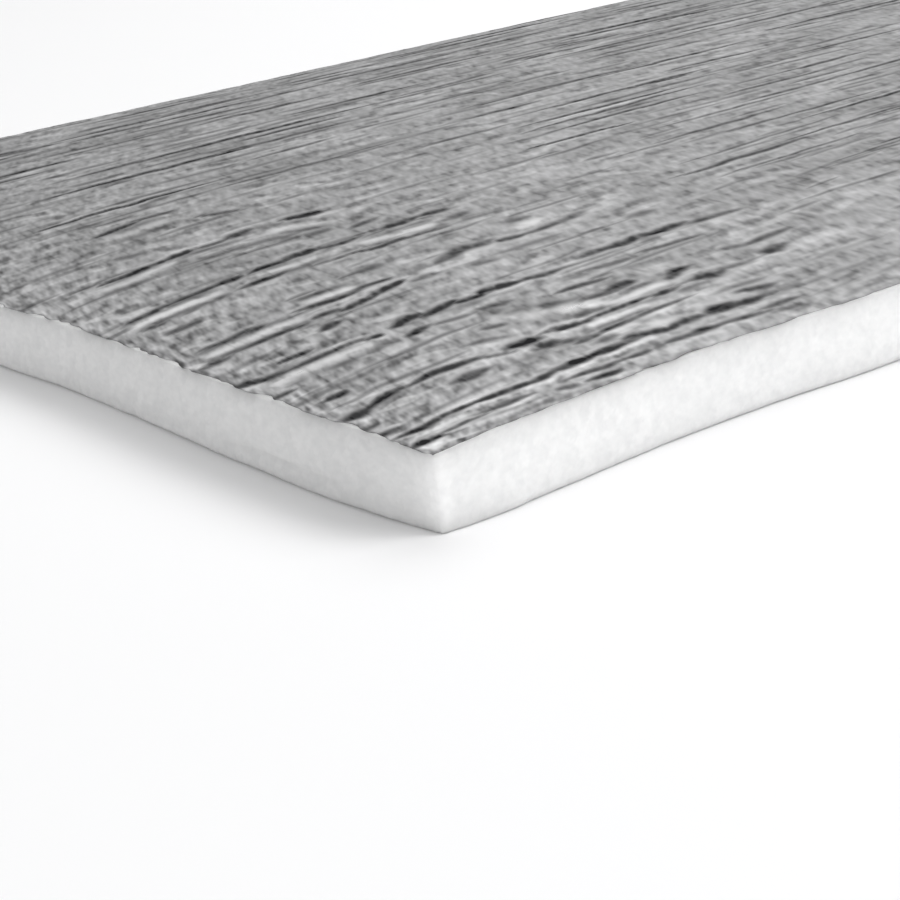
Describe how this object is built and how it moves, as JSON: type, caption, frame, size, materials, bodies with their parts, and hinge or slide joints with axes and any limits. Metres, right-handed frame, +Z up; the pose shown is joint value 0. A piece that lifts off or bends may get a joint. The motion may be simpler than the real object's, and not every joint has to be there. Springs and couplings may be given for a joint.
{
  "type": "foil-faced foam insulation board",
  "caption": "Flat white closed-cell foam board with a creased metallised foil bonded over its upper face, for thermal insulation.",
  "frame": {"origin": "middle of the board's underside", "axes": "+X along the board's length and along the creases of the foil, +Y across its width, +Z up out of the foil"},
  "size_m": [1, 0.5, 0.0201],
  "materials": {
    "foam": "white closed-cell foam, knife-cut edges that show the cells",
    "foil": "metallised film, satin, finely embossed, with long creases"
  },
  "bodies": {
    "root": {"foam_core": "foam", "foil_facing": "foil"}
  },
  "joints": []
}
